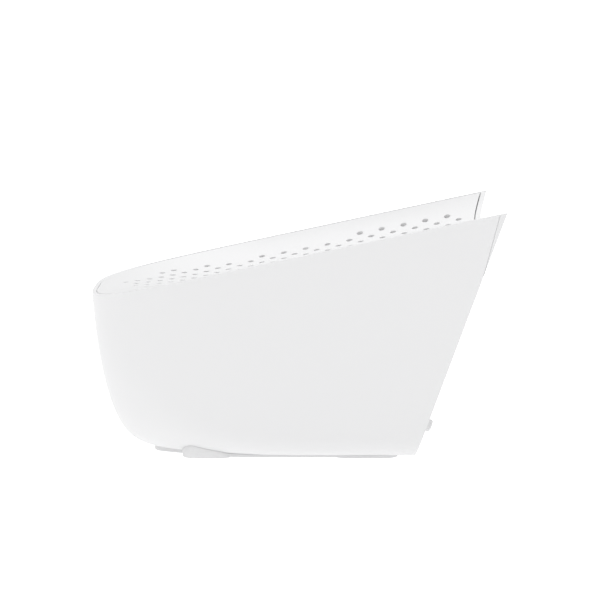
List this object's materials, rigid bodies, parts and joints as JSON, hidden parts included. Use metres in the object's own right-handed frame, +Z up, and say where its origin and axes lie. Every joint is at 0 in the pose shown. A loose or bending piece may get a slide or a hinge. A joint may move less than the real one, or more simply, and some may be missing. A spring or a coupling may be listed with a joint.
{
  "type": "wireless router",
  "caption": "Wedge-shaped desktop wireless router with a round nose, a vented trough top, a leaning rear port panel, and a board with strip antennas inside.",
  "frame": {"origin": "on the resting surface, below the middle of the bounding box", "axes": "+Z up, the nose looks to -Y, the port panel looks to +Y, +X is the right-hand side seen from behind the nose looking to the ports"},
  "size_m": [0.122, 0.1846, 0.1105],
  "materials": {
    "casing_white": "fine satin moulded white",
    "foot_rubber": "matt soft pad",
    "socket_plastic": "black moulded",
    "tin_shield": "bright tinned sheet",
    "gold_contact": "gold plated",
    "pin_metal": "nickel plated",
    "switch_plastic": "dark moulded",
    "circuit_board": "green solder mask",
    "chip_plastic": "black epoxy package",
    "crystal_can": "drawn can",
    "thermal_pad": "soft silicone pad",
    "sink_aluminium": "extruded",
    "screw_steel": "zinc plated",
    "light_clear": "clear polished acrylic",
    "lamp_body": "white package",
    "coax_jacket": "thin jacket"
  },
  "bodies": {
    "casing": {"outer_shell": "casing_white", "top_cover": "casing_white", "rear_panel": "casing_white", "base_plate": "casing_white", "foot_pad_front_left": "foot_rubber", "foot_pad_front_right": "foot_rubber", "foot_pad_rear_left": "foot_rubber", "foot_pad_rear_right": "foot_rubber", "lan_jack_1": "socket_plastic", "lan_jack_2": "socket_plastic", "lan_jack_3": "socket_plastic", "wan_jack": "socket_plastic", "power_inlet": "socket_plastic", "jack_shields": "tin_shield", "core_shield": "tin_shield", "radio_shields": "tin_shield", "jack_contacts": "gold_contact", "antenna_sockets": "gold_contact", "inlet_pin": "pin_metal", "pair_switch": "switch_plastic", "power_switch": "switch_plastic", "reset_switch": "switch_plastic", "main_board": "circuit_board", "pair_switch_board": "circuit_board", "power_switch_board": "circuit_board", "antenna_left_front": "circuit_board", "antenna_right_front": "circuit_board", "antenna_left_rear": "circuit_board", "antenna_right_rear": "circuit_board", "processor": "chip_plastic", "memory_chips": "chip_plastic", "flash_chip": "chip_plastic", "radio_chips": "chip_plastic", "port_switch_chip": "chip_plastic", "port_transformers": "chip_plastic", "inductors": "chip_plastic", "crystals": "crystal_can", "capacitors": "crystal_can", "thermal_pads": "thermal_pad", "heat_sink": "sink_aluminium", "heat_sink_screws": "screw_steel", "board_screws": "screw_steel", "case_screws": "screw_steel", "light_guide": "light_clear", "status_led": "lamp_body", "antenna_lead_left_front": "coax_jacket", "antenna_lead_right_front": "coax_jacket", "antenna_lead_left_rear": "coax_jacket", "antenna_lead_right_rear": "coax_jacket"},
    "pair_key": {"pair_button": "casing_white", "pair_actuator": "switch_plastic"},
    "power_key": {"power_button": "casing_white", "power_actuator": "switch_plastic"},
    "reset_key": {"reset_plunger": "switch_plastic"}
  },
  "joints": [
    {"name": "pair_press", "type": "slide", "parent": "casing", "child": "pair_key", "axis": [0, -0.9401, 0.3408], "range_m": [0, 0.0009], "stiffness_N_per_m": 1500},
    {"name": "power_press", "type": "slide", "parent": "casing", "child": "power_key", "axis": [0, -0.9401, 0.3408], "range_m": [0, 0.0022], "stiffness_N_per_m": 900},
    {"name": "reset_press", "type": "slide", "parent": "casing", "child": "reset_key", "axis": [0, -1, 0], "range_m": [0, 0.0003], "stiffness_N_per_m": 3000}
  ]
}
